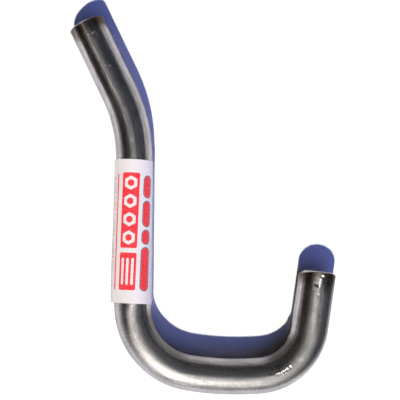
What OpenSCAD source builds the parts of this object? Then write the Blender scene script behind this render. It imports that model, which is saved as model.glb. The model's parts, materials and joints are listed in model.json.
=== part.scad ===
// Bent-bar hook: one length of round bright steel bar, cranked at the top and hooked at the bottom,
// with a printed label wrapped round its straight shank.
// It lies flat: the bends are all in one level plane, the shank runs along Y and the hook opens to +Y.
// Every bend radius is measured at the middle line of the bar.

/* [Bar] */
// Diameter of the round bar
bar_d = 12.7; // [8:0.1:20]
// Width of the deburring chamfer round each cut end
end_chamfer = 0.6; // [0.2:0.1:2]
// Amount that the bar's radius draws in where it is bent tightly
bend_draw = 0.02; // [0.01:0.01:0.1]

/* [Upper arm] */
// Straight length of the upper arm, from its cut end to the crank
upper_arm_len = 27.3; // [10:0.1:80]
// Bend radius of the crank between the upper arm and the shank
crank_radius = 54; // [20:0.5:90]
// Angle that the upper arm leans away from the hook
crank_angle = 26; // [5:0.5:60]

/* [Shank] */
// Straight length of the shank, from the crank to the heel
shank_len = 50.5; // [20:0.5:120]

/* [Hook] */
// Bend radius of the heel, between the shank and the sole
heel_radius = 23.4; // [15:0.1:40]
// Angle that the heel turns through
heel_angle = 81.5; // [60:0.5:100]
// Radius of the sole, the slightly bowed bottom of the hook
sole_radius = 104; // [60:1:200]
// Angle that the sole turns through
sole_angle = 13.3; // [4:0.1:20]
// Bend radius of the toe, between the sole and the tip
toe_radius = 19.2; // [15:0.1:40]
// Angle that the toe turns through
toe_angle = 77; // [50:0.5:100]
// Straight length of the tip, from the toe to its cut end
tip_len = 19.2; // [5:0.1:50]

/* [Label] */
// Bare length of shank left at each end of the label
label_margin = 0.5; // [0:0.1:8]
// Thickness of the label
label_thickness = 0.15; // [0.05:0.01:0.3]
// Thickness of the glue between the bar and the label
glue_thickness = 0.05; // [0.02:0.01:0.1]
// Width of the label's tail that laps over its own start, measured round the bar
label_overlap = 6; // [2:0.5:10]
// Place of the tail's free edge, in degrees round the bar from its top towards the outside of the hook
label_seam_angle = 125; // [95:1:150]

/* [Hidden] */
$fn = 96;

bar_r = bar_d / 2;
drawn_r = bar_r - bend_draw;
// Length that a tight bend runs on inside the fuller bar at each of its ends
bend_lap = 0.1;
label_inner_r = bar_r + glue_thickness;
label_outer_r = label_inner_r + label_thickness;
// The tail lies on the label's first layer, and the two are one piece from halfway into that layer
tail_root_r = label_outer_r - label_thickness / 2;
tail_outer_r = label_outer_r + label_thickness;
label_len = shank_len - 2 * label_margin;
overlap_angle = label_overlap / label_outer_r * 180 / PI;

// Height of the middle line: the underside of the label lies on the ground
axis_z = label_outer_r;

// The middle line of the bar, from its upper end to its tip.
// A straight is [length, 0, lap] and a bend is [radius, turn, lap], where a turn to the left is positive.
stretches = [
    [upper_arm_len, 0, 0],
    [crank_radius, -crank_angle, bend_lap],
    [shank_len, 0, 0],
    [heel_radius, heel_angle, bend_lap],
    [sole_radius, sole_angle, 0],
    [toe_radius, toe_angle, bend_lap],
    [tip_len, 0, 0]
];
shank_index = 2;
last_index = len(stretches) - 1;

// A pose is [x, y, heading]: the one at a share of a stretch that starts at the given pose
function along(pose, stretch, share) =
    stretch[1] == 0
    ? let (run = share * stretch[0])
      [pose.x + run * cos(pose.z), pose.y + run * sin(pose.z), pose.z]
    : let (heading = pose.z + share * stretch[1], reach = sign(stretch[1]) * stretch[0])
      [pose.x + reach * (sin(heading) - sin(pose.z)),
       pose.y - reach * (cos(heading) - cos(pose.z)),
       heading];

// The pose at the start of a stretch, with the bar's upper end at x = 0, y = 0
function start_of(index) =
    index == 0
    ? [0, 0, crank_angle - 90]
    : along(start_of(index - 1), stretches[index - 1], 1);

// The two points of the bar's outline at a pose
function outline(pose, radius) =
    [for (side = [-1, 1]) [pose.x - side * radius * sin(pose.z), pose.y + side * radius * cos(pose.z)]];

// The outline of the bar seen from above, for its extent
outline_steps = 60;
face_r = bar_r - end_chamfer;
upper_start = start_of(0);
tip_start = start_of(last_index);
outline_points = [
    each outline(upper_start, face_r),
    each outline(along(upper_start, [end_chamfer, 0], 1), bar_r),
    for (index = [1:last_index - 1], step = [0:outline_steps])
        each outline(along(start_of(index), stretches[index], step / outline_steps), bar_r),
    each outline(along(tip_start, [tip_len - end_chamfer, 0], 1), bar_r),
    each outline(along(tip_start, [tip_len, 0], 1), face_r)
];
xs = [for (point = outline_points) point.x];
ys = [for (point = outline_points) point.y];

// The middle of the outline, which becomes the origin
middle_x = (min(xs) + max(xs)) / 2;
middle_y = (min(ys) + max(ys)) / 2;

// Places its children at a pose, with X along the bar
module at_pose(pose) {
    translate([pose.x - middle_x, pose.y - middle_y, axis_z])
        rotate([0, 0, pose.z])
            children();
}

module straight(length) {
    rotate([0, 90, 0])
        cylinder(r = bar_r, h = length);
}

// A straight that ends in a chamfered cut
module cut_straight(length) {
    rotate([0, 90, 0])
        rotate_extrude()
            polygon([[0, 0], [bar_r, 0], [bar_r, length - end_chamfer], [face_r, length], [0, length]]);
}

module bend(radius, turn, lap) {
    lap_angle = lap / radius * 180 / PI;
    translate([0, sign(turn) * radius, 0])
        rotate([0, 0, (turn > 0 ? -90 : 90 + turn) - lap_angle])
            rotate_extrude(angle = abs(turn) + 2 * lap_angle)
                translate([radius, 0])
                    circle(r = lap > 0 ? drawn_r : bar_r);
}

// Part of the label between two radii, with its bore round Z
module label_layer(inner_r, outer_r, angle) {
    rotate_extrude(angle = angle)
        translate([inner_r, 0])
            square([outer_r - inner_r, label_len]);
}

module hook_bar() {
    color([0.62, 0.62, 0.61]) {
        at_pose(start_of(1))
            rotate([0, 0, 180])
                cut_straight(upper_arm_len);
        for (index = [1:last_index - 1]) {
            at_pose(start_of(index)) {
                if (stretches[index][1] == 0)
                    straight(stretches[index][0]);
                else
                    bend(stretches[index][0], stretches[index][1], stretches[index][2]);
            }
        }
        at_pose(tip_start)
            cut_straight(tip_len);
    }
}

module wrap_label() {
    color("whitesmoke")
        at_pose(start_of(shank_index))
            translate([label_margin, 0, 0])
                rotate([0, 90, 0]) {
                    label_layer(label_inner_r, label_outer_r, 360);
                    rotate([0, 0, 180 + label_seam_angle - overlap_angle])
                        label_layer(tail_root_r, tail_outer_r, overlap_angle);
                }
}

hook_bar();
wrap_label();
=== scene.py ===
import json
import math
from types import SimpleNamespace

import bpy
import numpy as np
from mathutils import Matrix, Vector, noise


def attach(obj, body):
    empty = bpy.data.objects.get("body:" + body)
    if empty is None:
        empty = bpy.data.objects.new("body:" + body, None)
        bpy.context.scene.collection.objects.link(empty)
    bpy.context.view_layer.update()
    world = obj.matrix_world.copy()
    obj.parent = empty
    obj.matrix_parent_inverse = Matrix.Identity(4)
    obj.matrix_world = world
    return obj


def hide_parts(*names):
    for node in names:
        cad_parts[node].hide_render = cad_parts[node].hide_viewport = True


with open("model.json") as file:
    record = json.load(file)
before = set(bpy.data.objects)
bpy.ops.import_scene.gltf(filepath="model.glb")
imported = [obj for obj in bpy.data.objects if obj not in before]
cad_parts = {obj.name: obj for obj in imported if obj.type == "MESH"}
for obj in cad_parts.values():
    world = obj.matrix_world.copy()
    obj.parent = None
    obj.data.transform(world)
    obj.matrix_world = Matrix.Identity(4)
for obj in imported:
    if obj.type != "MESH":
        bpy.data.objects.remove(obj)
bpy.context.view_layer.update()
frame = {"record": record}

# Driving dimensions of the part, repeated from its source
BAR_R = 6.35
UPPER_ARM_LEN = 27.3
CRANK = (54.0, -26.0)
SHANK_LEN = 50.5
HEEL = (23.4, 81.5)
SOLE = (104.0, 13.3)
TOE = (19.2, 77.0)
TIP_LEN = 19.2
LABEL_MARGIN = 0.5
LABEL_THICKNESS = 0.15
GLUE_THICKNESS = 0.05
LABEL_OVERLAP = 6.0
LABEL_SEAM_ANGLE = 125.0

# The middle line from the upper end to the tip: a straight is (length, 0), a bend is (radius, turn)
STRETCHES = (
    (UPPER_ARM_LEN, 0.0),
    CRANK,
    (SHANK_LEN, 0.0),
    HEEL,
    SOLE,
    TOE,
    (TIP_LEN, 0.0),
)
SHANK_INDEX = 2

# How finely the bar is meshed: its rings stand close where it is marked, and its points near the top
RING_STEP = 0.75
FINE_RING_STEP = 0.14
END_RING_STEP = 0.1
END_ZONE = 1.8
POINTS_ROUND = 180
TOP_CROWDING = 0.45
FACE_RINGS = 24
SHARP_ANGLE = 38.0

# Where the bar is marked: (start, end) along it
FINE_ZONES = (
    (4.5, 6.2),
    (17.0, 19.2),
    (163.0, 171.4),
    (178.2, 180.6),
    (186.4, 187.6),
    (189.4, 190.6),
    (195.7, 203.0),
)

# Marks on the bar: place, angle, length along the bar, width round it, depth (a raised mark has a negative
# depth), and finish. A finish above 0 is bare, up to 1. One below 0 is grimy: at -1 only the mark's middle
# is quite black, and further below more of it is
MARKS = (
    (0.35, 10.0, 0.9, 0.7, 0.30, -1.0),
    (129.3, -39.0, 4.6, 0.9, 0.10, -0.5),
    (133.8, -34.5, 3.6, 0.7, 0.08, -0.4),
    (165.8, 1.5, 0.7, 0.7, 0.03, -0.7),
    (166.7, -0.8, 0.6, 0.6, 0.03, -0.8),
    (167.6, -10.5, 0.6, 0.6, 0.05, -0.9),
    (168.7, -9.5, 0.6, 0.6, 0.05, -0.9),
    (170.1, -10.0, 0.5, 0.6, 0.04, -0.7),
    (168.2, -0.5, 0.7, 0.5, 0.03, -0.6),
    (169.9, 1.0, 0.6, 0.6, 0.03, -0.6),
    (167.1, 13.3, 0.8, 0.4, 0.06, 0.6),
    (173.9, 1.2, 1.4, 1.4, 0.03, 0.3),
    (174.7, -11.5, 1.4, 1.4, 0.03, 0.3),
    (179.4, 84.0, 1.1, 4.5, -0.28, 0.3),
    (187.0, -19.9, 0.6, 0.6, 0.05, -0.5),
    (190.0, -20.4, 0.6, 0.6, 0.07, -0.8),
    (196.2, -5.6, 0.6, 0.5, 0.03, -0.7),
    (200.2, 8.8, 0.7, 0.8, 0.03, -1.5),
    (200.05, 5.4, 0.9, 0.9, 0.05, -2.0),
    (199.9, 1.8, 0.9, 0.9, 0.06, -2.0),
    (199.7, -1.8, 0.7, 0.7, 0.05, -1.5),
    (200.9, 5.8, 0.5, 0.9, 0.03, 0.5),
    (199.0, 7.9, 0.5, 0.6, 0.03, 0.35),
)

# Small bare facets where the bar was gripped and knocked, in groups that each lean one way. A group is its
# lean along the bar and round it, as rises per length, and its facets: place, angle, length and width
FACET_GROUPS = (
    ((-0.20, 0.20), (
        (5.5, 3.5, 0.40, 1.0),
        (5.1, -9.5, 0.45, 0.6),
        (17.5, -4.6, 0.45, 0.8),
    )),
    ((-0.20, 0.38), (
        (5.2, 10.5, 0.35, 0.8),
        (18.2, 6.4, 0.35, 0.7),
        (18.5, 11.0, 0.40, 0.9),
    )),
    ((0.20, 0.28), (
        (165.3, -1.8, 0.35, 0.7),
        (166.2, -3.6, 0.40, 0.9),
        (167.0, -4.2, 0.35, 1.0),
        (167.8, -3.8, 0.40, 0.9),
        (168.5, -3.0, 0.30, 0.8),
        (169.3, -3.0, 0.45, 1.2),
        (170.6, -3.0, 0.45, 1.6),
        (167.2, -12.0, 0.4, 0.5),
        (168.2, -12.5, 0.4, 0.5),
        (167.1, 13.3, 0.5, 0.45),
    )),
    ((0.42, -0.06), (
        (197.4, -7.6, 0.5, 0.5),
        (199.8, -5.6, 0.65, 0.7),
        (200.5, -6.8, 0.7, 0.9),
        (201.2, -7.4, 0.75, 1.1),
        (202.0, -8.0, 0.8, 1.15),
        (202.5, -8.6, 0.6, 1.0),
    )),
    ((0.42, -0.20), (
        (203.3, -11.8, 0.7, 1.0),
        (203.35, -15.4, 0.7, 0.9),
    )),
)

# Fine specks of the gripped patches, drawn at random. A patch is its place, its angle, how far it reaches to
# each side along the bar and round it, how many specks it has, and the finish of its dark ones
SPECK_SEED = 11
SPECK_PATCHES = (
    (166.0, 13.0, 2.8, 14.0, 34, -0.85),
    (201.2, -4.0, 2.4, 34.0, 36, -0.5),
)
SPECK_SIZE = (0.4, 0.75)
SPECK_DEPTH = 0.03
SPECK_BARE = 0.3

# Fine scratches and knocks all over the bar, drawn at random, and how far they keep from its ends
SCRATCH_SEED = 7
SCRATCH_COUNT = 90
SCRATCH_LENGTH = (0.8, 5.0)
SCRATCH_WIDTH = (0.16, 0.35)
SCRATCH_DEPTH = (0.004, 0.014)
SCRATCH_FINISH = 0.2
SCRATCH_MARGIN = 2.0

# Worn chamfers of the cut ends, each as a size along the bar and across it: the plain chamfer, how far it
# wavers at each end, and how much more the tip's is worn on the inside and on the outside of the hook
CHAMFER = (0.36, 0.50)
UPPER_WAVER = (0.08, 0.08)
TIP_WAVER = (0.06, 0.08)
TIP_INNER_WEAR = (0.80, 0.90)
TIP_OUTER_WEAR = (0.50, 0.90)
WAVER_SCALE = 3.0
WAVER_SEED = 0.5

# Bare rims of the cut ends: how bare they are, how sharply that starts, and the angle, in radians, at which
# the upper one ends
RIM_FINISH = 0.9
RIM_START = 4.0
UPPER_RIM_BARE_TO = 0.15

# The tip's cut: how much longer the bar is there, how far it is askew, and the length that takes it up
TIP_EXTRA = 0.33
TIP_SKEW = 0.32
TIP_ZONE = 8.0

# Saw lines of the cut faces: the way they run at each end and their waves per length, both in radians, how
# far they wander, their depth, the depth and scale of the swell under them, and the rings that ease them in
UPPER_SAW_WAY = 0.6
TIP_SAW_WAY = 2.1
SAW_WAVES = 7.0
SAW_WANDER = 1.5
SAW_DEPTH = 0.018
SWELL_DEPTH = 0.05
SWELL_SCALE = 0.5
SAW_EASE_RINGS = 4

# The label's mesh and how askew it is wound. Its tail climbs over its start within an angle in radians, by a
# share of its thickness, and stands off the bar outside the hook: from an angle on, by a gap at each end
LABEL_COLUMNS = 240
LABEL_ROWS = 66
LABEL_SKEW = 2.0
CLIMB_ANGLE = 0.16
CLIMB_SHARE = 1.1
SLACK_FROM = 35.0
SLACK_TOP = 0.186
SLACK_BOTTOM = 1.4725

# Bands of the steel round the bar: the two angles between which each sets in, and the two between which it
# ends
INSIDE_BAND = (22.0, 52.0, 130.0, 160.0)
CROWN_BAND = (-52.0, -38.0, 14.0, 44.0)
OUTSIDE_BAND = (-150.0, -120.0, -58.0, -40.0)
# Band of painted highlight on the inner side of the sole's top
SOLE_HIGHLIGHT_BAND = (-12.0, -2.0, 14.0, 28.0)
# Bands of painted shade on the inner side of the top of the arms and the tip
ARM_SHADE_BAND = (4.0, 10.0, 20.0, 30.0)
TIP_SHADE_BAND = (-2.0, 5.0, 18.0, 28.0)
# Band of painted highlight on the outer side of the top
FLANK_HIGHLIGHT_BAND = (-48.0, -38.0, -24.0, -14.0)

# Stretches of the steel along the bar: the two places between which each sets in, and the two between which
# it ends
# Painted shade on the insides of the heel, the toe and the stretch between them
HEEL_INSIDE_SHADE = (101.0, 109.0, 129.0, 140.0)
TOE_INSIDE_SHADE = (157.0, 167.0, 176.0, 184.0)
HOOK_INSIDE_SHADE = (100.0, 110.0, 176.0, 184.0)
# Deeper painted shade on the inside of the toe
TOE_DEEP_SHADE = (161.0, 168.0, 175.0, 184.0)
# Painted highlight on the top of the heel
HEEL_HIGHLIGHT = (113.0, 123.0, 126.0, 136.0)
# Painted highlight on the inner side of the top of the sole
SOLE_HIGHLIGHT_SPAN = (122.0, 132.0, 160.0, 170.0)
# Painted shade on the inner side of the top of the upper arm and crank, and of the tip
ARM_SHADE_SPAN = (3.0, 12.0, 44.0, 56.0)
TIP_SHADE_SPAN = (181.0, 188.0, 198.0, 201.0)
# Painted highlight on the outer side of the top of the crank and of the tip
CRANK_FLANK_HIGHLIGHT = (24.0, 30.0, 34.0, 40.0)
TIP_FLANK_HIGHLIGHT = (178.0, 188.0, 196.0, 200.0)
SHADED_CRANK = (30.0, 40.0, 60.0, 70.0)
COARSE_CRANK = (24.0, 46.0, 60.0, 90.0)

# What sets in along the bar and lasts to its tip: the two places between which it does
HATCHED_FROM = (94.0, 112.0)
# Painted reflection: the outer side mirrors the floor lighter and warmer from the heel on
OUTER_REFLECTION_FROM = (112.0, 124.0)

# Changes of the steel along the bar: the places where each starts and is whole, and how much it adds
# Painted shade on the top of the bar, dimming its highlight from the sole on, less on the tip
CROWN_SHADE_STEPS = (
    (130.0, 158.0, 0.42),
    (160.0, 172.0, 0.20),
    (178.0, 190.0, -0.26),
)
COARSE_STEPS = (
    (92.0, 106.0, 1.1),
    (106.0, 122.0, 0.7),
    (130.0, 142.0, -0.1),
    (156.0, 168.0, 0.3),
    (175.0, 190.0, -0.8),
)
ROUGH_STEPS = (
    (82.0, 105.0, 0.135),
    (134.0, 146.0, 0.055),
    (156.0, 168.0, 0.08),
    (179.0, 193.0, -0.15),
)

# Noises of the steel: waves per millimetre along each axis, detail and roughness
HATCH_NOISE = ((2.6, 0.35, 1.0), 4.0, 0.65)
GRAIN_NOISE = ((0.10, 2.6, 2.6), 3.0, 0.5)
PIT_NOISE = ((13.0, 13.0, 13.0), 2.0, 0.5)
SPECK_NOISE = ((2.4, 2.4, 2.4), 2.0, 0.6)
WAVE_NOISE = ((0.3, 0.3, 0.3), 2.0, 0.5)
CLOUD_NOISE = ((0.16, 0.3, 0.3), 3.0, 0.5)
BURN_NOISE = ((0.0, 0.7, 5.0), 3.0, 0.5)

# The steel's grey: its darkest and lightest, the shares of specks, grain and clouds in it, and the range
# of their sum that goes from one to the other
STEEL_COLOURS = ((0.34, 0.318, 0.308), (0.645, 0.606, 0.587))
TONE_SHARES = (0.5, 0.25, 0.25)
TONE_RANGE = (0.41, 0.59)
STEEL_EDGE_TINT = (0.6, 0.6, 0.6)

# Layers of colour over the grey: how much each covers where it is whole, and its colour
HATCH_LAYER = (0.28, (0.25, 0.234, 0.226))
# Painted shade: darker insides of the tight bends
INSIDE_SHADE_LAYER = (0.9, (0.135, 0.122, 0.116))
# Painted shade: deeper dark on the inside of the toe
TOE_DEEP_SHADE_LAYER = (0.6, (0.06, 0.052, 0.048))
# Painted highlight: lighter top of the heel
HEEL_HIGHLIGHT_LAYER = (0.55, (0.80, 0.772, 0.735))
# Painted shade: darker top from the sole to the tip
CROWN_SHADE_LAYER = (1.0, (0.19, 0.195, 0.19))
# Painted highlight: lighter inner side of the sole's top
SOLE_HIGHLIGHT_LAYER = (0.5, (0.80, 0.772, 0.735))
# Painted shade: darker inner side of the top of the arms and the tip
ARM_AND_TIP_SHADE_LAYER = (0.42, (0.12, 0.12, 0.128))
# Painted highlight: lighter outer side of the top of the crank and the tip
FLANK_HIGHLIGHT_LAYER = (0.7, (0.80, 0.79, 0.80))
# Painted reflection: lighter, warmer outer side from the heel on
OUTER_REFLECTION_LAYER = (0.35, (0.64, 0.605, 0.545))
# Painted shade: darker outer side of the crank
SHADED_LAYER = (0.3, (0.25, 0.232, 0.225))
BURNT_LAYER = (1.0, (0.085, 0.058, 0.036))
SAWN_LAYER = (0.4, (0.40, 0.375, 0.355))
BARE_LAYER = (0.9, (0.78, 0.76, 0.745))
GRIME_LAYER = (0.9, (0.012, 0.010, 0.009))

# The range of the hatch that turns dark, how much painted shade covers the inside between the tight bends,
# and how far from the tip's face the bands end and are whole
HATCH_RANGE = (0.56, 0.40)
SHADE_BETWEEN_BENDS = 0.3
BANDS_END = (0.05, 0.5)

# The burnt ends: how ragged their edge is, where they start and are whole from each end, how burnt each is,
# and how that grows towards the inside of the hook and varies
RAGGED = 5.0
UPPER_BURN = (8.0, 2.0)
TIP_BURN = (7.0, 0.6)
UPPER_BURN_SHARE = 0.9
TIP_BURN_SHARE = 0.8
INNER_BURN = (2.5, 5.0, 1.0, 1.4)
UNEVEN_BURN = (0.35, 0.65, 0.75, 1.0)

# How far the coarse and rough steel of the top reaches down its sides
FLANK_SHARE = 0.15

# Roughness of the steel: plain and bare, and what specks, burnt ends and grime add
STEEL_ROUGHNESS = 0.20
BARE_ROUGHNESS = 0.22
SPECK_ROUGHNESS = (0.25, 0.75, -0.02, 0.02)
BURNT_ROUGHNESS = 0.05
GRIME_ROUGHNESS = 0.1

# Bump of the steel: its depth, and the shares of the hatch, of fine and coarse pits, of the crank's pits
# and of the waves in it
STEEL_BUMP = 0.1
HATCH_HEIGHT = 0.3
FINE_HEIGHT = 0.01
COARSE_HEIGHT = 0.31
CRANK_HEIGHT = 0.8
WAVE_HEIGHT = 0.4

# Noises of the label: waves per millimetre along each axis, detail and roughness
FIBRE_NOISE = ((5.0, 5.0, 0.0), 4.0, 0.6)
MOTTLE_NOISE = ((1.3, 1.3, 0.0), 2.0, 0.6)
SMUDGE_NOISE = ((0.16, 0.08, 0.0), 3.0, 0.5)
DASH_NOISE = ((0.85, 7.3, 0.0), 1.0, 0.5)

# The label's two paper colours and two ink colours, and the range of noise that goes from one to the other
PAPER_COLOURS = ((0.87, 0.79, 0.76), (0.80, 0.73, 0.705))
PAPER_RANGE = (0.42, 0.72)
RED_COLOURS = ((0.86, 0.030, 0.040), (1.0, 0.072, 0.082))
RED_RANGE = (0.36, 0.64)

# Thinner inks of the label: how much each covers, and its colour
OUTLINE_INK = (0.8, (0.14, 0.03, 0.035))
GREY_INK = (0.7, (0.30, 0.17, 0.18))

# Gloss and relief of the label: how the fibres set its roughness, how much ink smooths them, how strongly it
# reflects, and the strength and depth of its bump
PAPER_ROUGHNESS = (0.1, 0.8, 0.42, 0.62)
INK_SMOOTHING = -0.25
PAPER_SPECULAR = 0.4
PAPER_BUMP_STRENGTH = 0.15
PAPER_BUMP = 0.03

# The label's print. Its places are w, round the label from the bar's top, and v, along it from its upper
# edge. PRINT_V is the middle of what runs along the whole label
PRINT_V = 25.0

# Red blocks: their w and half width, and the v and half length of the one with nuts and the one with bars
BLOCK_W = -1.2
BLOCK_HALF = 3.05
BLOCK_CORNER = 0.6
NUT_BLOCK = (17.6, 13.0)
BAR_BLOCK = (38.6, 6.4)

# White nuts and bars in the blocks: how far apart they are, their size, and half of the box that keeps them
NUT_PITCH = 6.3
NUT_ACROSS = 4.3
NUT_HOLE_R = 1.15
NUT_BOX = (2.7, 12.6)
BAR_PITCH = 1.75
BAR_HALF = (0.45, 4.6)
BAR_BOX = (2.6, 5.0)
KEEP_CORNER = 0.1

# The slope of a hexagon's sides, as the cosine and sine of 60 degrees
HEXAGON_SLOPE = (0.5, 0.866)

# Red rules along the label: w and half width of each, and the half length of both
RULES = ((-6.3, 0.32), (25.4, 0.8))
RULE_HALF = 20.0
RULE_CORNER = 0.3

# Red pills with a dark outline: their w and half width, and the v and half length of each
PILL_W = 5.1
PILL_HALF = 1.45
PILL_CORNER = 1.4
PILL_OUTLINE = 0.4
PILLS = ((9.2, 3.6), (18.6, 4.2), (26.6, 2.2), (37.6, 7.2))

# Areas of fine grey dashes: the w, half width, pitch of rows and thickness of each, and the half length of
# both
DASH_AREAS = ((-8.9, 1.5, 1.0, 0.42), (17.5, 5.6, 1.25, 0.5))
DASH_HALF = 19.0

# Half the width of the soft edge of the print, and of a dash, and the range of noise that starts a dash
PRINT_EDGE = 0.04
DASH_EDGE = 0.05
DASH_RANGE = (0.44, 0.47)

# The floor: how far it reaches, in metres, and its colour
FLOOR_REACH = 6.0
FLOOR_COLOUR = (0.965, 0.965, 0.99)

# Lamps: azimuth from +X towards +Y, elevation, how wide they look, strength, colour, and whether gloss and
# whether matt surfaces see them
LAMPS = {
    "key": (-95.0, 51.5, 2.0, 4.0, (1.0, 0.985, 0.84), False, True),
    "shine": (-88.0, 42.0, 42.0, 2.45, (1.0, 0.985, 0.955), True, False),
    "glint": (-94.0, 46.0, 3.0, 1.0, (1.0, 0.985, 0.955), True, False),
    "glow": (-50.0, 62.0, 90.0, 0.23, (0.82, 0.90, 1.0), True, False),
    "sky_fill": (-58.0, 33.0, 100.0, 1.92, (0.27, 0.35, 1.0), False, True),
}

# The room that the steel mirrors: its colours towards -X and +X, overhead and at the horizon, the range of X
# between them, the slope of the horizon, and the heights between which it turns into what is overhead
ROOM_SIDES = (-0.6, 0.6)
OVERHEAD_COLOURS = ((0.034, 0.032, 0.031), (0.052, 0.055, 0.074))
HORIZON_COLOURS = ((0.56, 0.51, 0.47), (0.50, 0.50, 0.53))
HORIZON_SLOPE = 0.18
HORIZON_HEIGHTS = (-0.02, 0.28)

# Cards that only the steel mirrors: where they start and end along Y, their profile of (x, z) and their grey
CARDS = {
    "grey_card": ((-100.0, 10.0), ((47.5, 0.4), (58.0, 0.4)), 0.55),
    "dark_card": ((-100.0, 10.0), ((58.0, 0.5), (75.0, 0.5), (75.0, 18.0)), 0.15),
    "far_card": ((-12.0, 400.0), ((0.0, 0.3), (400.0, 0.3)), 0.6),
}

# Camera: the photograph is 400 pixels wide and high, and the focal length is in its pixels. What is nearer
# or further than the clip range, in metres, isn't drawn
CAMERA_PLACE = (-0.403, -30.138, 405.317)
CAMERA_AIM = (-0.604, 1.246, 6.55)
CAMERA_UP = (-0.0064, 1.0, 0.0)
IMAGE_SIDE = 400
FOCAL_PIXELS = 1145.6
SENSOR_WIDTH = 36.0
CLIP_RANGE = (0.01, 50.0)


def mm(value):
    """A length in millimetres, as metres."""
    return value * 0.001


def smooth(value):
    """A ramp from 0 to 1, eased at both ends."""
    t = np.clip(value, 0.0, 1.0)
    return t * t * (3.0 - 2.0 * t)


def mount(name):
    """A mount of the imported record."""
    return next(m for m in frame["record"]["mounts"] if m["name"] == name)


# The middle line of the bar


def stretch_length(stretch):
    """Length of a straight or a bend along the middle line."""
    size, turn = stretch
    return size if turn == 0 else size * math.radians(abs(turn))


def along(pose, stretch, run):
    """The pose (x, y, heading) at a length along a stretch that starts at the given pose."""
    x, y, heading = pose
    size, turn = stretch
    if turn == 0:
        return x + run * math.cos(heading), y + run * math.sin(heading), heading
    reach = math.copysign(size, turn)
    new_heading = heading + run / reach
    new_x = x + reach * (math.sin(new_heading) - math.sin(heading))
    new_y = y - reach * (math.cos(new_heading) - math.cos(heading))
    return new_x, new_y, new_heading


def stretch_starts():
    """The pose and the place at the start of each stretch, the bar's length, and the height of its axis."""
    end = mount("upper_end_face")
    x, y, axis_z = (v * 1000 for v in end["pos_m"])
    pose = (x, y, math.atan2(-end["axis"][1], -end["axis"][0]))
    starts = []
    done = 0.0
    for stretch in STRETCHES:
        starts.append((pose, done))
        run = stretch_length(stretch)
        pose = along(pose, stretch, run)
        done += run
    return starts, done, axis_z


STARTS, BAR_LEN, AXIS_Z = stretch_starts()


def pose_at(s):
    """The pose at a place along the bar; beyond an end the bar runs straight on."""
    index = max(i for i, (_, start) in enumerate(STARTS) if start <= max(s, 0.0))
    pose, start = STARTS[index]
    return along(pose, STRETCHES[index], s - start)


# The bar


def ring_places():
    """Places along the bar at which it has a ring of points."""
    places = []
    s = 0.0
    while s < BAR_LEN:
        places.append(s)
        near_end = min(s, BAR_LEN - s) < END_ZONE
        marked = any(start <= s <= end for start, end in FINE_ZONES)
        s += END_RING_STEP if near_end else FINE_RING_STEP if marked else RING_STEP
    if BAR_LEN - places[-1] < END_RING_STEP / 2:
        places.pop()
    return np.array(places + [BAR_LEN])


def ring_angles():
    """Angles of a ring's points, in radians, crowded towards the top."""
    u = np.linspace(-math.pi, math.pi, POINTS_ROUND, endpoint=False)
    return u - TOP_CROWDING * np.sin(u)


def gaps_from(s, angle, place, at_angle):
    """How far a grid of places and angles is from one place and angle, along the bar and round it."""
    round_gap = (angle - math.radians(at_angle) + math.pi) % (2 * math.pi) - math.pi
    return s - place, round_gap * BAR_R


def spot(s, angle, place, at_angle, length, width):
    """A soft spot that rises from 0 to 1, over a grid of places and angles."""
    run, across = gaps_from(s, angle, place, at_angle)
    return np.exp(-((across / (width / 2)) ** 2 + (run / (length / 2)) ** 2))


def facet(s, angle, place, at_angle, length, width, lean):
    """How far a facet stands out, and how bare it is, over a grid of places and angles."""
    run, across = gaps_from(s, angle, place, at_angle)
    bare = np.exp(-(((across / (width / 2)) ** 2 + (run / (length / 2)) ** 2) ** 2))
    return bare * (lean[0] * run + lean[1] * across), bare


def scratches():
    """Rows like those of MARKS for the scratches drawn at random."""
    rng = np.random.default_rng(SCRATCH_SEED)
    rows = []
    for _ in range(SCRATCH_COUNT):
        place = rng.uniform(SCRATCH_MARGIN, BAR_LEN - SCRATCH_MARGIN)
        angle = rng.uniform(-180.0, 180.0)
        length = rng.uniform(*SCRATCH_LENGTH)
        width = rng.uniform(*SCRATCH_WIDTH)
        depth = rng.uniform(*SCRATCH_DEPTH)
        rows.append((place, angle, length, width, depth, SCRATCH_FINISH))
    return rows


def specks():
    """Rows like those of MARKS for the specks of the gripped patches, bare and dark in turn."""
    rng = np.random.default_rng(SPECK_SEED)
    rows = []
    for place, angle, reach, spread, count, dark in SPECK_PATCHES:
        for index in range(count):
            at_place = rng.uniform(place - reach, place + reach)
            at_angle = rng.uniform(angle - spread, angle + spread)
            size = rng.uniform(*SPECK_SIZE)
            finish = dark if index % 2 else SPECK_BARE
            rows.append((at_place, at_angle, size, size, SPECK_DEPTH, finish))
    return rows


def chamfers(angles):
    """Size of the worn chamfer at the upper end and at the tip, along the bar and across it."""
    round_rim = [(WAVER_SCALE * math.sin(a), WAVER_SCALE * math.cos(a), WAVER_SEED) for a in angles]
    waver = np.array([noise.noise(Vector(p)) for p in round_rim])
    inner = np.clip(np.sin(angles), 0, 1)
    outer = np.clip(-np.sin(angles), 0, 1)
    upper_along = CHAMFER[0] + UPPER_WAVER[0] * waver
    upper_across = CHAMFER[1] + UPPER_WAVER[1] * waver
    tip_along = CHAMFER[0] + TIP_WAVER[0] * waver
    tip_along += TIP_INNER_WEAR[0] * inner**2 + TIP_OUTER_WEAR[0] * outer**4
    tip_across = CHAMFER[1] + TIP_WAVER[1] * waver
    tip_across += TIP_INNER_WEAR[1] * inner**4 + TIP_OUTER_WEAR[1] * outer**4
    return upper_along, upper_across, tip_along, tip_across


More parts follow.
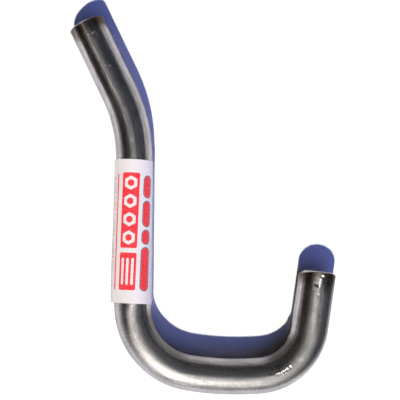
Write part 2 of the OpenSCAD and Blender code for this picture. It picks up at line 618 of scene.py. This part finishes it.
def marked_radius(s, angle):
    """Radius of the bar with its marks and facets, and how bare and how grimy it is, over a grid."""
    radius = np.full_like(s, BAR_R)
    bare = np.zeros_like(s)
    grime = np.zeros_like(s)
    for place, at_angle, length, width, depth, finish in (*MARKS, *specks(), *scratches()):
        shape = spot(s, angle, place, at_angle, length, width)
        radius -= depth * shape
        bare = np.maximum(bare, finish * shape)
        grime = np.maximum(grime, -finish * shape)
    for lean, facets in FACET_GROUPS:
        for row in facets:
            rise, facet_bare = facet(s, angle, *row, lean)
            radius += rise
            bare = np.maximum(bare, facet_bare)
    return radius, bare, np.clip(grime, 0.0, 1.0)


def bar_radius(places, angles):
    """Radius of the bar, and how bare and how grimy it is, for each of its places and angles."""
    s, angle = np.meshgrid(places, angles, indexing="ij")
    radius, bare, grime = marked_radius(s, angle)
    upper_along, upper_across, tip_along, tip_across = chamfers(angles)
    upper_cut = np.clip(1.0 - s / upper_along, 0.0, 1.0)
    tip_cut = np.clip(1.0 - (BAR_LEN - s) / tip_along, 0.0, 1.0)
    radius -= upper_across * upper_cut + tip_across * tip_cut
    upper_rim = np.where(angle < UPPER_RIM_BARE_TO, smooth(RIM_START * upper_cut), 0.0)
    tip_rim = smooth(RIM_START * tip_cut)
    bare = np.maximum(bare, RIM_FINISH * np.maximum(upper_rim, tip_rim))
    return radius, bare, grime


def tip_share(s):
    """0 along the bar, rising to 1 over the last few millimetres before the tip."""
    return float(smooth((s - BAR_LEN) / TIP_ZONE + 1.0))


def bar_point(s, angle, radius):
    """A point of the bar. The tip is cut slightly askew, longer on the outside of the hook."""
    longer = TIP_EXTRA - TIP_SKEW * math.sin(angle) * radius / BAR_R
    x, y, heading = pose_at(s + longer * tip_share(s))
    side = radius * math.sin(angle)
    return x - side * math.sin(heading), y + side * math.cos(heading), AXIS_Z + radius * math.cos(angle)


def saw_line(angle, radius, way):
    """The saw's parallel lines over a cut face, from -1 to 1."""
    x = radius * math.sin(angle)
    y = radius * math.cos(angle)
    line = x * math.cos(way) + y * math.sin(way)
    return math.sin(SAW_WAVES * line + SAW_WANDER * noise.noise(Vector((x, y, way))))


def saw_marks(angle, radius, way):
    """How far a cut face stands out from flat, which is less than a tenth of a millimetre."""
    x = radius * math.sin(angle)
    y = radius * math.cos(angle)
    swell = noise.noise(Vector((SWELL_SCALE * x, SWELL_SCALE * y, way)))
    return SAW_DEPTH * saw_line(angle, radius, way) + SWELL_DEPTH * swell


class Skin:
    """Points and faces of the bar as they are made, and what its material needs to know at each point.

    straight_space is where the point is if the bar is straightened: along it, towards the inside, and up.
    grain_way is the way of the brushing. finish is how bare, how grimy and how sawn the steel is.
    """

    def __init__(self):
        self.points = []
        self.faces = []
        self.attributes = {"straight_space": [], "grain_way": [], "finish": []}

    def add(self, s, angle, radius, grain, finish, lift=0.0):
        """Adds a point, lifted along the bar, and returns its number."""
        self.points.append(bar_point(s + lift, angle, radius))
        self.attributes["straight_space"].append((s, radius * math.sin(angle), radius * math.cos(angle)))
        self.attributes["grain_way"].append(grain)
        self.attributes["finish"].append(finish)
        return len(self.points) - 1

    def face(self, corners, flipped):
        """Adds a face, which looks the other way if it is flipped."""
        self.faces.append(corners[::-1] if flipped else corners)

    def join(self, ring, next_ring, flipped=False):
        """Adds the faces between two rings of points."""
        for j in range(len(ring)):
            k = (j + 1) % len(ring)
            self.face((ring[j], ring[k], next_ring[k], next_ring[j]), flipped)

    def close(self, ring, middle, flipped):
        """Adds the faces between a ring and the point in its middle."""
        for j in range(len(ring)):
            self.face((ring[j], ring[(j + 1) % len(ring)], middle), flipped)


def add_cut_face(skin, angles, rim, rim_radius, s, way, outward):
    """Closes an end with a saw-cut face of rings that shrink from its rim to its middle."""
    heading = pose_at(s)[2]
    grain = (-math.sin(heading), math.cos(heading), 0.0)
    flipped = outward < 0

    def add(angle, radius, share):
        """Adds a point of the face, which has a share of the saw's marks."""
        lift = outward * share * saw_marks(angle, radius, way)
        sawn = 0.5 + 0.5 * saw_line(angle, radius, way)
        return skin.add(s, angle, radius, grain, (0.0, 0.0, sawn), lift)

    last = rim
    for step in range(1, FACE_RINGS):
        shrink = 1.0 - step / FACE_RINGS
        share = smooth(step / SAW_EASE_RINGS)
        ring = [add(a, r * shrink, share) for a, r in zip(angles, rim_radius)]
        skin.join(last, ring, flipped)
        last = ring
    skin.close(last, add(0.0, 0.0, 1.0), flipped)


def build_bar():
    """The whole bar as one closed mesh, with worn chamfers, saw-cut faces, dents and scratches."""
    places = ring_places()
    angles = ring_angles()
    radius, bare, grime = bar_radius(places, angles)
    skin = Skin()
    rings = []
    for i, s in enumerate(places):
        heading = pose_at(s)[2]
        grain = (math.cos(heading), math.sin(heading), 0.0)
        rows = zip(angles, radius[i], bare[i], grime[i])
        rings.append([skin.add(s, a, r, grain, (clean, dirty, 0.0)) for a, r, clean, dirty in rows])
    for ring, next_ring in zip(rings, rings[1:]):
        skin.join(ring, next_ring)
    add_cut_face(skin, angles, rings[0], radius[0], places[0], UPPER_SAW_WAY, -1)
    add_cut_face(skin, angles, rings[-1], radius[-1], places[-1], TIP_SAW_WAY, 1)
    return make_mesh("steel_bar", skin.points, skin.faces, skin.attributes)


def make_mesh(name, points, faces, attributes):
    """A smooth-shaded mesh object whose points carry vectors of their own, by name, for its material."""
    mesh = bpy.data.meshes.new(name)
    mesh.from_pydata([tuple(mm(v) for v in p) for p in points], [], faces)
    mesh.validate()
    for attribute, values in attributes.items():
        layer = mesh.attributes.new(attribute, "FLOAT_VECTOR", "POINT")
        layer.data.foreach_set("vector", np.array(values, np.float32).ravel())
    mesh.shade_smooth()
    mesh.set_sharp_from_angle(angle=math.radians(SHARP_ANGLE))
    return add_object(name, mesh)


def add_object(name, data):
    """An object in the scene that shows a mesh, a lamp or a camera."""
    obj = bpy.data.objects.new(name, data)
    bpy.context.scene.collection.objects.link(obj)
    return obj


# The label


def label_gap(angle, row):
    """Gap between the bar and the label's underside, at an angle in radians and a share of its length."""
    outside = -angle
    seam = math.radians(LABEL_SEAM_ANGLE)
    start_edge = seam - LABEL_OVERLAP / BAR_R
    climb = smooth((outside - start_edge + CLIMB_ANGLE) / CLIMB_ANGLE)
    slack = SLACK_TOP + (SLACK_BOTTOM - SLACK_TOP) * smooth(row)
    slack_from = math.radians(SLACK_FROM)
    lift = smooth((outside - slack_from) / (seam - slack_from))
    return GLUE_THICKNESS + CLIMB_SHARE * LABEL_THICKNESS * climb + slack * lift


def label_points():
    """Points of the label's two sides, the printed one first, and the place of each on the flat sheet."""
    middle_r = BAR_R + GLUE_THICKNESS + LABEL_THICKNESS / 2
    end_w = -math.radians(LABEL_SEAM_ANGLE) * middle_r
    start_w = end_w + 2 * math.pi * middle_r + LABEL_OVERLAP
    length = SHANK_LEN - 2 * LABEL_MARGIN
    start_s = STARTS[SHANK_INDEX][1] + LABEL_MARGIN
    skew = math.sin(math.radians(LABEL_SKEW))
    points = []
    sheet_space = []
    for printed in (1, 0):
        for j in range(LABEL_COLUMNS + 1):
            w = end_w + (start_w - end_w) * j / LABEL_COLUMNS
            for i in range(LABEL_ROWS + 1):
                row = i / LABEL_ROWS
                v = length * row
                angle = (w - (v - length / 2) * skew) / middle_r
                radius = BAR_R + label_gap(angle, row) + printed * LABEL_THICKNESS
                points.append(bar_point(start_s + v + w * skew, angle, radius))
                sheet_space.append((w, v, printed))
    return points, sheet_space


def label_faces():
    """Faces of the label's two sides and of its four edges."""
    per_side = (LABEL_COLUMNS + 1) * (LABEL_ROWS + 1)

    def at(printed, j, i):
        """Number of the point in a column and a row of one side."""
        return (0 if printed else per_side) + j * (LABEL_ROWS + 1) + i

    faces = []
    for j in range(LABEL_COLUMNS):
        for i in range(LABEL_ROWS):
            quad = [(j, i), (j + 1, i), (j + 1, i + 1), (j, i + 1)]
            faces.append(tuple(at(1, *c) for c in quad))
            faces.append(tuple(at(0, *c) for c in reversed(quad)))
    border = [(j, 0) for j in range(LABEL_COLUMNS)]
    border += [(LABEL_COLUMNS, i) for i in range(LABEL_ROWS)]
    border += [(j, LABEL_ROWS) for j in range(LABEL_COLUMNS, 0, -1)]
    border += [(0, i) for i in range(LABEL_ROWS, 0, -1)]
    for here, there in zip(border, border[1:] + border[:1]):
        faces.append((at(1, *there), at(1, *here), at(0, *here), at(0, *there)))
    return faces


def build_label():
    """The label as one sheet with thickness, wound once round the shank with its tail off the bar."""
    points, sheet_space = label_points()
    return make_mesh("printed_label", points, label_faces(), {"sheet_space": sheet_space})


# Materials


def opaque(colour):
    """A colour as a shader takes it, with an alpha of 1. A socket stays as it is."""
    return (*colour, 1.0) if isinstance(colour, tuple) else colour


class Graph:
    """Adds nodes to a material or world and returns their output sockets."""

    def __init__(self, owner):
        owner.use_nodes = True
        self.tree = owner.node_tree
        self.tree.nodes.clear()

    def put(self, socket, value):
        """Sets an input to a value, or links it to a socket."""
        if isinstance(value, bpy.types.NodeSocket):
            self.tree.links.new(value, socket)
        else:
            socket.default_value = value

    def node(self, kind, **inputs):
        """A node with its inputs put by name."""
        made = self.tree.nodes.new(kind)
        for name, value in inputs.items():
            self.put(made.inputs[name.replace("_", " ")], value)
        return made

    def math(self, operation, *values, clamp=False):
        """One step of arithmetic."""
        made = self.tree.nodes.new("ShaderNodeMath")
        made.operation = operation
        made.use_clamp = clamp
        for socket, value in zip(made.inputs, values):
            self.put(socket, value)
        return made.outputs[0]

    def fold(self, operation, values):
        """The same step of arithmetic from one value to the next."""
        result = values[0]
        for value in values[1:]:
            result = self.math(operation, result, value)
        return result

    def plus(self, *values):
        """The sum of some values."""
        return self.fold("ADD", values)

    def times(self, *values):
        """The product of some values."""
        return self.fold("MULTIPLY", values)

    def most(self, *values):
        """The largest of some values."""
        return self.fold("MAXIMUM", values)

    def minus(self, value, less, clamp=False):
        """The difference of two values."""
        return self.math("SUBTRACT", value, less, clamp=clamp)

    def length(self, x, y):
        """The length of the long side of a right triangle."""
        return self.math("SQRT", self.plus(self.times(x, x), self.times(y, y)))

    def ramp(self, value, low, high, to_low=0.0, to_high=1.0):
        """Maps low..high to to_low..to_high, eased and held beyond."""
        made = self.node("ShaderNodeMapRange", Value=value, From_Min=low, From_Max=high)
        made.interpolation_type = "SMOOTHSTEP"
        self.put(made.inputs["To Min"], to_low)
        self.put(made.inputs["To Max"], to_high)
        return made.outputs[0]

    def span(self, value, edges):
        """1 between the middle two of four edges and 0 beyond the outer two, eased."""
        return self.times(self.ramp(value, edges[0], edges[1]), self.ramp(value, edges[3], edges[2]))

    def band(self, angle, edges):
        """A span of an angle, whose edges are in degrees."""
        return self.span(angle, [math.radians(edge) for edge in edges])

    def steps(self, value, rows):
        """The sum of changes, each with the values where it starts and is whole, and how much it adds."""
        return self.plus(*[self.ramp(value, low, high, 0.0, change) for low, high, change in rows])

    def mix(self, share, a, b):
        """Mixes two colours."""
        made = self.tree.nodes.new("ShaderNodeMix")
        made.data_type = "RGBA"
        self.put(made.inputs[0], share)
        self.put(made.inputs[6], opaque(a))
        self.put(made.inputs[7], opaque(b))
        return made.outputs[2]

    def stretched(self, vector, scale):
        """A vector scaled along each axis."""
        made = self.tree.nodes.new("ShaderNodeVectorMath")
        made.operation = "MULTIPLY"
        self.put(made.inputs[0], vector)
        made.inputs[1].default_value = scale
        return made.outputs[0]

    def noise(self, vector, waves, detail, roughness):
        """Soft noise, mostly between 0.3 and 0.7."""
        made = self.node("ShaderNodeTexNoise", Vector=self.stretched(vector, waves), Scale=1.0)
        made.inputs["Detail"].default_value = detail
        made.inputs["Roughness"].default_value = roughness
        return made.outputs[0]

    def combine(self, x, y, z):
        """A vector from its three parts."""
        return self.node("ShaderNodeCombineXYZ", X=x, Y=y, Z=z).outputs[0]

    def carried(self, attribute):
        """The vector that make_mesh gave each point, whole and as its three parts."""
        made = self.tree.nodes.new("ShaderNodeAttribute")
        made.attribute_name = attribute
        parts = self.node("ShaderNodeSeparateXYZ", Vector=made.outputs["Vector"]).outputs
        return made.outputs["Vector"], parts[0], parts[1], parts[2]

    def surface(self, shader):
        """Puts a shader on the surface."""
        out = self.tree.nodes.new("ShaderNodeOutputMaterial")
        self.tree.links.new(shader.outputs[0], out.inputs["Surface"])


def steel_places(g):
    """Where each point of the bar is, its finish, and the noises that the steel's marks come from."""
    place, s, side, up = g.carried("straight_space")
    _, bare, grime, sawn = g.carried("finish")
    angle = g.math("ARCTAN2", side, up)
    flat = g.combine(s, g.times(angle, BAR_R), 0.0)
    return SimpleNamespace(
        place=place,
        s=s,
        side=side,
        angle=angle,
        bare=bare,
        grime=grime,
        sawn=sawn,
        hatch=g.noise(flat, *HATCH_NOISE),
        grain=g.noise(place, *GRAIN_NOISE),
        pits=g.noise(place, *PIT_NOISE),
        speck=g.noise(place, *SPECK_NOISE),
        wave=g.noise(place, *WAVE_NOISE),
        cloud=g.noise(place, *CLOUD_NOISE),
    )


def off_tip_face(g, at):
    """1 along the bar and 0 on the tip's cut face, where a band would be a wedge."""
    end, whole = BANDS_END
    return g.ramp(at.s, BAR_LEN - end, BAR_LEN - whole)


def crown_of(g, at):
    """1 on the top of the bar and 0 on its sides."""
    return g.times(g.band(at.angle, CROWN_BAND), off_tip_face(g, at))


def heat_of(g, at):
    """How far the cutting has burnt the two ends, with a ragged edge."""
    ragged = g.times(g.minus(at.cloud, 0.5), RAGGED)
    start, whole = TIP_BURN
    upper = g.ramp(g.plus(at.s, ragged), *UPPER_BURN)
    tip = g.ramp(g.minus(at.s, ragged), BAR_LEN - start, BAR_LEN - whole)
    return g.most(g.times(upper, UPPER_BURN_SHARE), g.times(tip, TIP_BURN_SHARE))


def inside_layers(g, at):
    """Where the fine marks round the bar and the painted shade inside its bends are, each with its layer."""
    inside = g.band(at.angle, INSIDE_BAND)
    # Painted shade on the insides of the bends, strongest at the heel and the toe
    between = g.times(g.span(at.s, HOOK_INSIDE_SHADE), SHADE_BETWEEN_BENDS)
    tight = g.most(g.span(at.s, HEEL_INSIDE_SHADE), g.span(at.s, TOE_INSIDE_SHADE), between)
    return [
        (g.times(g.ramp(at.hatch, *HATCH_RANGE), g.ramp(at.s, *HATCHED_FROM)), HATCH_LAYER),
        (g.times(inside, tight), INSIDE_SHADE_LAYER),
        (g.times(inside, g.span(at.s, TOE_DEEP_SHADE)), TOE_DEEP_SHADE_LAYER),
    ]


def crown_layers(g, at, crown):
    """Where the painted highlights and painted shade on the top of the bar are, each with its layer."""
    sole_highlight = g.times(g.band(at.angle, SOLE_HIGHLIGHT_BAND), g.span(at.s, SOLE_HIGHLIGHT_SPAN))
    arm_shade = g.times(g.band(at.angle, ARM_SHADE_BAND), g.span(at.s, ARM_SHADE_SPAN))
    tip_shade = g.times(g.band(at.angle, TIP_SHADE_BAND), g.span(at.s, TIP_SHADE_SPAN))
    # Painted highlight on the outer side of the top of the crank and the tip
    clean = g.most(g.span(at.s, CRANK_FLANK_HIGHLIGHT), g.span(at.s, TIP_FLANK_HIGHLIGHT))
    return [
        (g.times(crown, g.span(at.s, HEEL_HIGHLIGHT)), HEEL_HIGHLIGHT_LAYER),
        (g.times(crown, g.steps(at.s, CROWN_SHADE_STEPS)), CROWN_SHADE_LAYER),
        (sole_highlight, SOLE_HIGHLIGHT_LAYER),
        (g.most(arm_shade, tip_shade), ARM_AND_TIP_SHADE_LAYER),
        (g.times(g.band(at.angle, FLANK_HIGHLIGHT_BAND), clean), FLANK_HIGHLIGHT_LAYER),
    ]


def outside_layers(g, at):
    """Where the painted reflection and shade on the outer side of the bar are, each with its layer."""
    outside = g.times(g.band(at.angle, OUTSIDE_BAND), off_tip_face(g, at))
    return [
        (g.times(outside, g.ramp(at.s, *OUTER_REFLECTION_FROM)), OUTER_REFLECTION_LAYER),
        (g.times(outside, g.span(at.s, SHADED_CRANK)), SHADED_LAYER),
    ]


def finish_layers(g, at, heat):
    """Where the bar is burnt, sawn, bare or grimy, each with its layer."""
    uneven = g.ramp(g.noise(at.place, *BURN_NOISE), *UNEVEN_BURN)
    burnt = g.times(heat, g.ramp(at.side, *INNER_BURN), uneven)
    return [
        (burnt, BURNT_LAYER),
        (at.sawn, SAWN_LAYER),
        (at.bare, BARE_LAYER),
        (at.grime, GRIME_LAYER),
    ]


def steel_colour(g, at, crown, heat):
    """The steel's colour: cloudy grey, layer after layer over it, some painted highlight and shade."""
    parts = zip((at.speck, at.grain, at.cloud), TONE_SHARES)
    tone = g.plus(*[g.times(part, share) for part, share in parts])
    colour = g.mix(g.ramp(tone, *TONE_RANGE), *STEEL_COLOURS)
    layers = inside_layers(g, at) + crown_layers(g, at, crown)
    layers += outside_layers(g, at) + finish_layers(g, at, heat)
    for share, (cover, layer_colour) in layers:
        colour = g.mix(g.times(share, cover), colour, layer_colour)
    return colour


def steel_roughness(g, at, flanks, heat):
    """The steel's roughness: more below the label and at the burnt ends, and even where it is bare."""
    opened = g.times(g.steps(at.s, ROUGH_STEPS), flanks)
    speckled = g.ramp(at.speck, *SPECK_ROUGHNESS)
    roughness = g.plus(opened, STEEL_ROUGHNESS, speckled, g.times(heat, BURNT_ROUGHNESS))
    roughness = g.plus(roughness, g.times(at.bare, g.minus(BARE_ROUGHNESS, roughness)))
    return g.plus(roughness, g.times(at.grime, GRIME_ROUGHNESS))


def steel_height(g, at, flanks):
    """The steel's fine relief: pits and marks, coarser below the label, on long soft waves."""
    coarse = g.plus(g.steps(at.s, COARSE_STEPS), g.times(g.span(at.s, COARSE_CRANK), CRANK_HEIGHT))
    depth = g.plus(g.times(coarse, flanks, COARSE_HEIGHT), FINE_HEIGHT)
    fine = g.times(g.plus(at.pits, g.times(at.hatch, HATCH_HEIGHT)), depth)
    return g.times(g.plus(fine, g.times(at.wave, WAVE_HEIGHT)), g.minus(1.0, at.bare))


def steel_material():
    """Bright ground bar, brushed along its length, with burnt ends and painted shade and highlights."""
    material = bpy.data.materials.new("bright_steel")
    g = Graph(material)
    at = steel_places(g)
    crown = crown_of(g, at)
    heat = heat_of(g, at)
    flanks = g.ramp(crown, 0.0, 1.0, FLANK_SHARE, 1.0)
    height = steel_height(g, at, flanks)
    bump = g.node("ShaderNodeBump", Strength=1.0, Distance=mm(STEEL_BUMP), Height=height)
    shader = g.node("ShaderNodeBsdfPrincipled", Normal=bump.outputs[0])
    g.put(shader.inputs["Base Color"], steel_colour(g, at, crown, heat))
    g.put(shader.inputs["Roughness"], steel_roughness(g, at, flanks, heat))
    shader.inputs["Metallic"].default_value = 1.0
    shader.inputs["Specular Tint"].default_value = opaque(STEEL_EDGE_TINT)
    shader.inputs["Anisotropic"].default_value = 1.0
    g.put(shader.inputs["Tangent"], g.carried("grain_way")[0])
    g.surface(shader)
    return material


def box_mask(g, w, v, centre, half, corner):
    """1 inside a box with rounded corners on the label and 0 outside it."""
    gaps = []
    for value, middle, reach in ((w, centre[0], half[0]), (v, centre[1], half[1])):
        gap = g.minus(g.math("ABSOLUTE", g.minus(value, middle)), reach - corner)
        gaps.append(g.most(gap, 0.0))
    return g.ramp(g.length(*gaps), corner + PRINT_EDGE, corner - PRINT_EDGE)


def repeated(g, value, middle, pitch):
    """The value measured from the nearest of a row of places a pitch apart."""
    return g.math("WRAP", g.minus(value, middle), pitch / 2, -pitch / 2)


def nut_mask(g, w, v):
    """1 inside a hexagon with a round hole, about the place where w and v are 0."""
    w_gap = g.math("ABSOLUTE", w)
    v_gap = g.math("ABSOLUTE", v)
    slope = g.plus(g.times(w_gap, HEXAGON_SLOPE[0]), g.times(v_gap, HEXAGON_SLOPE[1]))
    hexagon = g.ramp(g.most(w_gap, slope), NUT_ACROSS / 2 + PRINT_EDGE, NUT_ACROSS / 2 - PRINT_EDGE)
    ring = g.ramp(g.length(w, v), NUT_HOLE_R - PRINT_EDGE, NUT_HOLE_R + PRINT_EDGE)
    return g.times(hexagon, ring)


def dash_mask(g, w, v, middle, half, pitch, thick):
    """Rows of fine dashes of uneven length along the label, in an area about a middle w."""
    row = g.math("FLOOR", g.math("DIVIDE", g.minus(w, middle), pitch))
    off_row = g.math("ABSOLUTE", repeated(g, w, middle + pitch / 2, pitch))
    line = g.ramp(off_row, thick / 2 + DASH_EDGE, thick / 2 - DASH_EDGE)
    inked = g.ramp(g.noise(g.combine(v, row, 0.0), *DASH_NOISE), *DASH_RANGE)
    return g.times(line, inked, box_mask(g, w, v, (middle, PRINT_V), (half, DASH_HALF), KEEP_CORNER))


def block_mask(g, w, v):
    """The red blocks, with white nuts in one and white bars in the other."""
    nut_v, nut_half = NUT_BLOCK
    bar_v, bar_half = BAR_BLOCK
    nut_block = box_mask(g, w, v, (BLOCK_W, nut_v), (BLOCK_HALF, nut_half), BLOCK_CORNER)
    bar_block = box_mask(g, w, v, (BLOCK_W, bar_v), (BLOCK_HALF, bar_half), BLOCK_CORNER)
    nuts = nut_mask(g, g.minus(w, BLOCK_W), repeated(g, v, nut_v + NUT_PITCH / 2, NUT_PITCH))
    nuts = g.times(nuts, box_mask(g, w, v, (BLOCK_W, nut_v), NUT_BOX, KEEP_CORNER))
    bars = box_mask(g, repeated(g, w, BLOCK_W, BAR_PITCH), v, (0.0, bar_v), BAR_HALF, BAR_HALF[0])
    bars = g.times(bars, box_mask(g, w, v, (BLOCK_W, bar_v), BAR_BOX, KEEP_CORNER))
    return g.minus(g.most(nut_block, bar_block), g.most(nuts, bars), clamp=True)


def pill_masks(g, w, v):
    """The red pills, and the outline round them."""
    pills = []
    edges = []
    for pill_v, half in PILLS:
        centre = (PILL_W, pill_v)
        outer_half = (PILL_HALF + PILL_OUTLINE, half + PILL_OUTLINE)
        pills.append(box_mask(g, w, v, centre, (PILL_HALF, half), PILL_CORNER))
        edges.append(box_mask(g, w, v, centre, outer_half, PILL_CORNER + PILL_OUTLINE))
    pills = g.most(*pills)
    return pills, g.minus(g.most(*edges), pills, clamp=True)


def label_material():
    """Semi-gloss white paper with a made-up print: blocks, nuts, bars, rules, pills and dashes."""
    material = bpy.data.materials.new("label_paper")
    g = Graph(material)
    place, w, v, printed_side = g.carried("sheet_space")
    rules = [box_mask(g, w, v, (at_w, PRINT_V), (half, RULE_HALF), RULE_CORNER) for at_w, half in RULES]
    pills, outline = pill_masks(g, w, v)
    red_share = g.most(block_mask(g, w, v), *rules, pills)
    grey_share = g.most(*[dash_mask(g, w, v, *area) for area in DASH_AREAS])

    printed = g.ramp(printed_side, 0.4, 0.6)
    paper = g.mix(g.ramp(g.noise(place, *SMUDGE_NOISE), *PAPER_RANGE), *PAPER_COLOURS)
    red = g.mix(g.ramp(g.noise(place, *MOTTLE_NOISE), *RED_RANGE), *RED_COLOURS)
    colour = g.mix(g.times(red_share, printed), paper, red)
    for share, (cover, ink_colour) in ((outline, OUTLINE_INK), (grey_share, GREY_INK)):
        colour = g.mix(g.times(share, printed, cover), colour, ink_colour)

    fibre = g.noise(place, *FIBRE_NOISE)
    inked_fibre = g.plus(fibre, g.times(g.most(red_share, grey_share), INK_SMOOTHING))
    roughness = g.ramp(inked_fibre, *PAPER_ROUGHNESS)
    bump = g.node("ShaderNodeBump", Strength=PAPER_BUMP_STRENGTH, Distance=mm(PAPER_BUMP), Height=fibre)
    shader = g.node("ShaderNodeBsdfPrincipled", Base_Color=colour, Roughness=roughness)
    g.put(shader.inputs["Normal"], bump.outputs[0])
    shader.inputs["Specular IOR Level"].default_value = PAPER_SPECULAR
    g.surface(shader)
    return material


def matt_material(name, colour):
    """A plain matt colour for the floor or a card."""
    material = bpy.data.materials.new(name)
    g = Graph(material)
    g.surface(g.node("ShaderNodeBsdfDiffuse", Color=opaque(colour)))
    return material


# Floor, light and camera


def build_floor():
    """A plain white floor under the hook, wide enough to reach the horizon in low views."""
    mesh = bpy.data.meshes.new("floor")
    signs = ((-1, -1), (1, -1), (1, 1), (-1, 1))
    mesh.from_pydata([(x * FLOOR_REACH, y * FLOOR_REACH, 0) for x, y in signs], [], [(0, 1, 2, 3)])
    floor = add_object("floor", mesh)
    mesh.materials.append(matt_material("white_floor", FLOOR_COLOUR))


def build_card(name, reach, corners, grey):
    """A card that only the steel mirrors: a profile of (x, z) corners, drawn out between two places on Y."""
    mesh = bpy.data.meshes.new(name)
    quads = [(i, i + 1, i + 3, i + 2) for i in range(0, 2 * len(corners) - 2, 2)]
    mesh.from_pydata([(mm(x), mm(y), mm(z)) for x, z in corners for y in reach], [], quads)
    card = add_object(name, mesh)
    card.visible_camera = False
    card.visible_diffuse = False
    card.visible_shadow = False
    mesh.materials.append(matt_material(name, (grey, grey, grey)))


def build_lamp(name, azimuth, elevation, angle, strength, colour, gloss, matt):
    """A distant round lamp."""
    lamp = bpy.data.lights.new(name, "SUN")
    lamp.angle = math.radians(angle)
    lamp.energy = strength
    lamp.color = colour
    obj = add_object(name, lamp)
    a = math.radians(azimuth)
    e = math.radians(elevation)
    towards = Vector((math.cos(a) * math.cos(e), math.sin(a) * math.cos(e), math.sin(e)))
    obj.rotation_mode = "QUATERNION"
    obj.rotation_quaternion = towards.to_track_quat("Z", "Y")
    obj.location = towards
    obj.visible_glossy = gloss
    obj.visible_diffuse = matt


def build_light():
    """A key lamp for the shadow, three lamps and a dim room that only the steel mirrors, and a blue fill."""
    for name, settings in LAMPS.items():
        build_lamp(name, *settings)
    world = bpy.data.worlds.new("room")
    world.cycles_visibility.diffuse = False
    bpy.context.scene.world = world
    g = Graph(world)
    direction = g.tree.nodes.new("ShaderNodeTexCoord").outputs["Generated"]
    x, y, z = g.node("ShaderNodeSeparateXYZ", Vector=direction).outputs
    across = g.ramp(x, *ROOM_SIDES)
    overhead = g.mix(across, *OVERHEAD_COLOURS)
    horizon = g.mix(across, *HORIZON_COLOURS)
    height = g.minus(z, g.times(y, HORIZON_SLOPE))
    colour = g.mix(g.ramp(height, *HORIZON_HEIGHTS), horizon, overhead)
    shader = g.node("ShaderNodeBackground", Color=colour)
    out = g.tree.nodes.new("ShaderNodeOutputWorld")
    g.tree.links.new(shader.outputs[0], out.inputs["Surface"])


def build_camera():
    """The camera of the photograph: almost straight above, with no shift and no depth of field."""
    data = bpy.data.cameras.new("camera")
    data.sensor_width = SENSOR_WIDTH
    data.lens = FOCAL_PIXELS / IMAGE_SIDE * SENSOR_WIDTH
    data.clip_start, data.clip_end = CLIP_RANGE
    camera = add_object("camera", data)
    place = Vector(mm(v) for v in CAMERA_PLACE)
    back = (place - Vector(mm(v) for v in CAMERA_AIM)).normalized()
    right = Vector(CAMERA_UP).cross(back).normalized()
    up = back.cross(right)
    turn = Matrix((right, up, back)).transposed().to_4x4()
    camera.matrix_world = Matrix.Translation(place) @ turn
    bpy.context.scene.camera = camera


# The scene

bar = build_bar()
bar.data.materials.append(steel_material())
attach(bar, "root")
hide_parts("hook_bar")

label = build_label()
label.data.materials.append(label_material())
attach(label, "root")
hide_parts("wrap_label")

build_floor()
for card_name, card in CARDS.items():
    build_card(card_name, *card)
build_light()
build_camera()
bpy.context.scene.view_settings.view_transform = "Standard"
